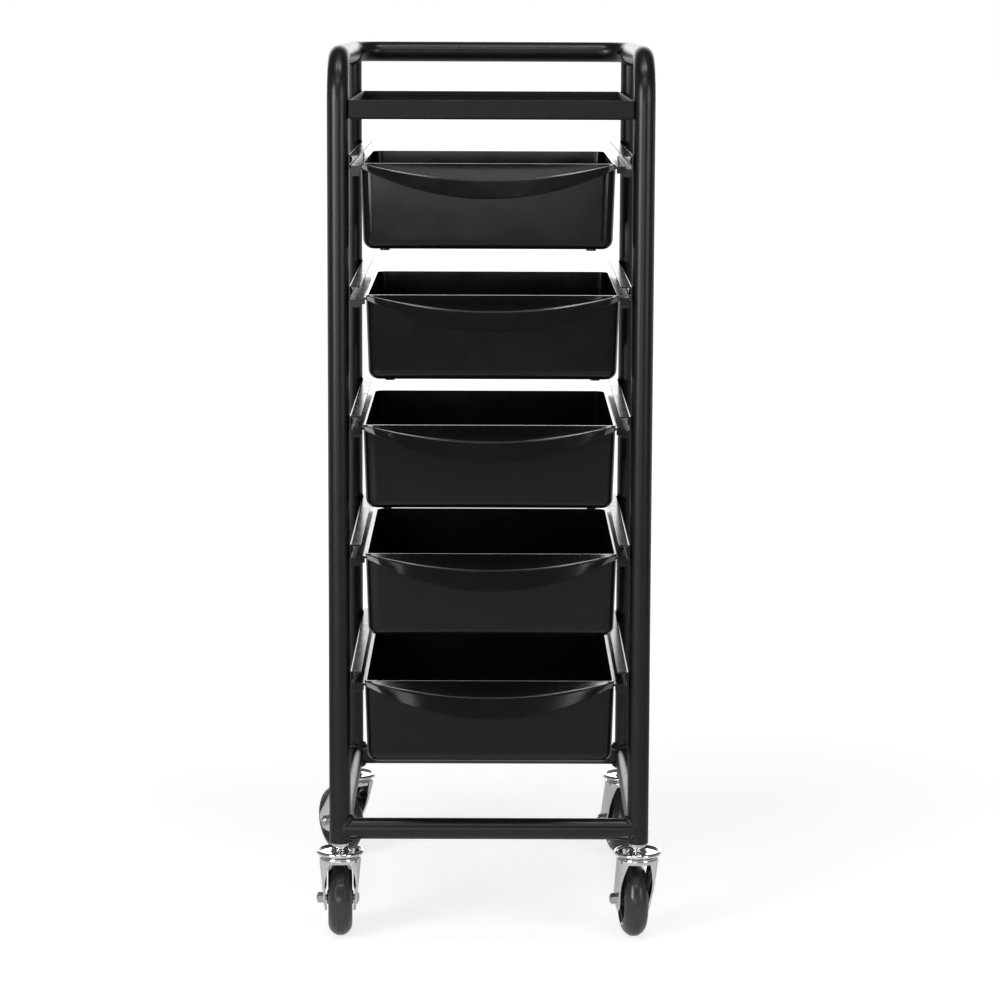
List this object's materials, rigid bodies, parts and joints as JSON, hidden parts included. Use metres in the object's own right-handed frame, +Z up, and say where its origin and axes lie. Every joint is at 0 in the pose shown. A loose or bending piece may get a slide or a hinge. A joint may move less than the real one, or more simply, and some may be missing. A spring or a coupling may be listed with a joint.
{
  "type": "rolling salon trolley",
  "caption": "Tall narrow black tube-frame trolley with a shallow top tray, open pull-out drawers on side runners, and chrome swivel casters.",
  "frame": {"origin": "on the floor, midway between the four uprights' centre lines", "axes": "+Z up, +X to the right seen from the front, the drawers pull out towards -Y"},
  "size_m": [0.3751, 0.4419, 0.925],
  "materials": {
    "frame_powder_coat": "satin black powder coat",
    "tray_powder_coat": "fine-textured black powder coat",
    "runner_gloss_black": "gloss black enamel",
    "drawer_plastic": "polished black moulding",
    "caster_chrome": "bright chrome plate",
    "zinc_steel": "bright zinc plate",
    "bearing_steel": "polished steel",
    "black_screw": "black oxide",
    "wheel_plastic": "matt moulded nylon",
    "tyre_rubber": "smooth dark grey rubber"
  },
  "bodies": {
    "frame": {"frame_loop": "frame_powder_coat", "rear_left_upright": "frame_powder_coat", "rear_right_upright": "frame_powder_coat", "front_bottom_bar": "frame_powder_coat", "rear_bottom_bar": "frame_powder_coat", "left_bottom_bar": "frame_powder_coat", "right_bottom_bar": "frame_powder_coat", "caster_sockets": "zinc_steel", "top_tray": "tray_powder_coat", "runner_screws": "black_screw", "tray_screws": "black_screw", "left_runner_1": "runner_gloss_black", "right_runner_1": "runner_gloss_black", "left_runner_2": "runner_gloss_black", "right_runner_2": "runner_gloss_black", "left_runner_3": "runner_gloss_black", "right_runner_3": "runner_gloss_black", "left_runner_4": "runner_gloss_black", "right_runner_4": "runner_gloss_black", "left_runner_5": "runner_gloss_black", "right_runner_5": "runner_gloss_black", "front_left_swivel_plate": "caster_chrome", "front_left_bearing_balls": "bearing_steel", "front_right_swivel_plate": "caster_chrome", "front_right_bearing_balls": "bearing_steel", "rear_left_swivel_plate": "caster_chrome", "rear_left_bearing_balls": "bearing_steel", "rear_right_swivel_plate": "caster_chrome", "rear_right_bearing_balls": "bearing_steel", "kingpins": "zinc_steel"},
    "drawer_1": {"drawer_1": "drawer_plastic"},
    "drawer_2": {"drawer_2": "drawer_plastic"},
    "drawer_3": {"drawer_3": "drawer_plastic"},
    "drawer_4": {"drawer_4": "drawer_plastic"},
    "drawer_5": {"drawer_5": "drawer_plastic"},
    "front_left_swivel": {"front_left_fork": "caster_chrome", "front_left_axle_bolt": "zinc_steel", "front_left_axle_nut": "zinc_steel"},
    "front_right_swivel": {"front_right_fork": "caster_chrome", "front_right_axle_bolt": "zinc_steel", "front_right_axle_nut": "zinc_steel"},
    "rear_left_swivel": {"rear_left_fork": "caster_chrome", "rear_left_axle_bolt": "zinc_steel", "rear_left_axle_nut": "zinc_steel"},
    "rear_right_swivel": {"rear_right_fork": "caster_chrome", "rear_right_axle_bolt": "zinc_steel", "rear_right_axle_nut": "zinc_steel"},
    "front_left_wheel": {"front_left_wheel_core": "wheel_plastic", "front_left_tyre": "tyre_rubber"},
    "front_right_wheel": {"front_right_wheel_core": "wheel_plastic", "front_right_tyre": "tyre_rubber"},
    "rear_left_wheel": {"rear_left_wheel_core": "wheel_plastic", "rear_left_tyre": "tyre_rubber"},
    "rear_right_wheel": {"rear_right_wheel_core": "wheel_plastic", "rear_right_tyre": "tyre_rubber"}
  },
  "joints": [
    {"name": "drawer_1_slide", "type": "slide", "parent": "frame", "child": "drawer_1", "axis": [0, -1, 0], "range_m": [0, 0.25]},
    {"name": "drawer_2_slide", "type": "slide", "parent": "frame", "child": "drawer_2", "axis": [0, -1, 0], "range_m": [0, 0.25]},
    {"name": "drawer_3_slide", "type": "slide", "parent": "frame", "child": "drawer_3", "axis": [0, -1, 0], "range_m": [0, 0.25]},
    {"name": "drawer_4_slide", "type": "slide", "parent": "frame", "child": "drawer_4", "axis": [0, -1, 0], "range_m": [0, 0.25]},
    {"name": "drawer_5_slide", "type": "slide", "parent": "frame", "child": "drawer_5", "axis": [0, -1, 0], "range_m": [0, 0.25]},
    {"name": "front_left_swivel", "type": "hinge", "parent": "frame", "child": "front_left_swivel", "pos_m": [-0.154, -0.165, 0.09], "axis": [0, 0, 1], "continuous": true},
    {"name": "front_left_wheel_spin", "type": "hinge", "parent": "front_left_swivel", "child": "front_left_wheel", "pos_m": [-0.15557, -0.13504, 0.0395], "axis": [0.9986, 0.0523, 0], "continuous": true},
    {"name": "front_right_swivel", "type": "hinge", "parent": "frame", "child": "front_right_swivel", "pos_m": [0.154, -0.165, 0.09], "axis": [0, 0, 1], "continuous": true},
    {"name": "front_right_wheel_spin", "type": "hinge", "parent": "front_right_swivel", "child": "front_right_wheel", "pos_m": [0.15086, -0.13516, 0.0395], "axis": [0.9945, 0.1045, 0], "continuous": true},
    {"name": "rear_left_swivel", "type": "hinge", "parent": "frame", "child": "rear_left_swivel", "pos_m": [-0.154, 0.165, 0.09], "axis": [0, 0, 1], "continuous": true},
    {"name": "rear_left_wheel_spin", "type": "hinge", "parent": "rear_left_swivel", "child": "rear_left_wheel", "pos_m": [-0.1699, 0.19044, 0.0395], "axis": [0.848, 0.5299, 0], "continuous": true},
    {"name": "rear_right_swivel", "type": "hinge", "parent": "frame", "child": "rear_right_swivel", "pos_m": [0.154, 0.165, 0.09], "axis": [0, 0, 1], "continuous": true},
    {"name": "rear_right_wheel_spin", "type": "hinge", "parent": "rear_right_swivel", "child": "rear_right_wheel", "pos_m": [0.14931, 0.19463, 0.0395], "axis": [0.9877, 0.1564, 0], "continuous": true}
  ]
}
